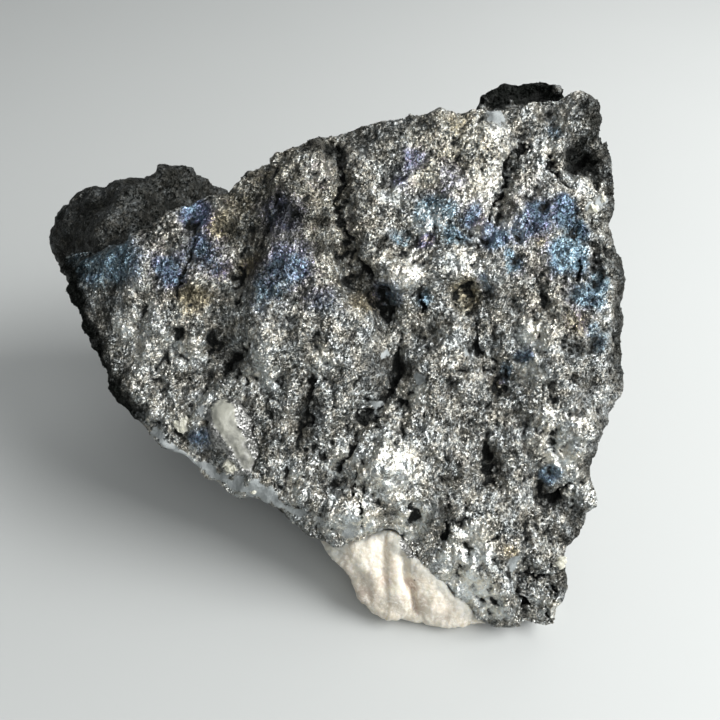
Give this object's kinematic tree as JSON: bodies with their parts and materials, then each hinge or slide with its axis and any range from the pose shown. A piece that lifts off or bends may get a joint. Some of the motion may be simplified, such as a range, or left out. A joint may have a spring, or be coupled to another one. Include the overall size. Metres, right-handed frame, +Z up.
{
  "type": "skutterudite specimen",
  "caption": "Broken block of granular steel-grey skutterudite ore with tarnished patches, ribbed pinkish-white calcite under its lower front edge and a milky quartz bleb; flat underside.",
  "frame": {"origin": "centre of the bounding box's footprint, on the ground under the flat underside", "axes": "+X to the right along the specimen's width, +Y away from its broad broken face, +Z up"},
  "size_m": [0.0804, 0.0612, 0.0524],
  "materials": {
    "ore": "granular, metallic, tarnished blue and bronze in patches",
    "calcite": "pinkish-white translucent mineral, smooth and ribbed",
    "quartz": "milky grey-white translucent mineral"
  },
  "bodies": {
    "root": {"skutterudite": "ore", "calcite": "calcite", "quartz": "quartz"}
  },
  "joints": []
}
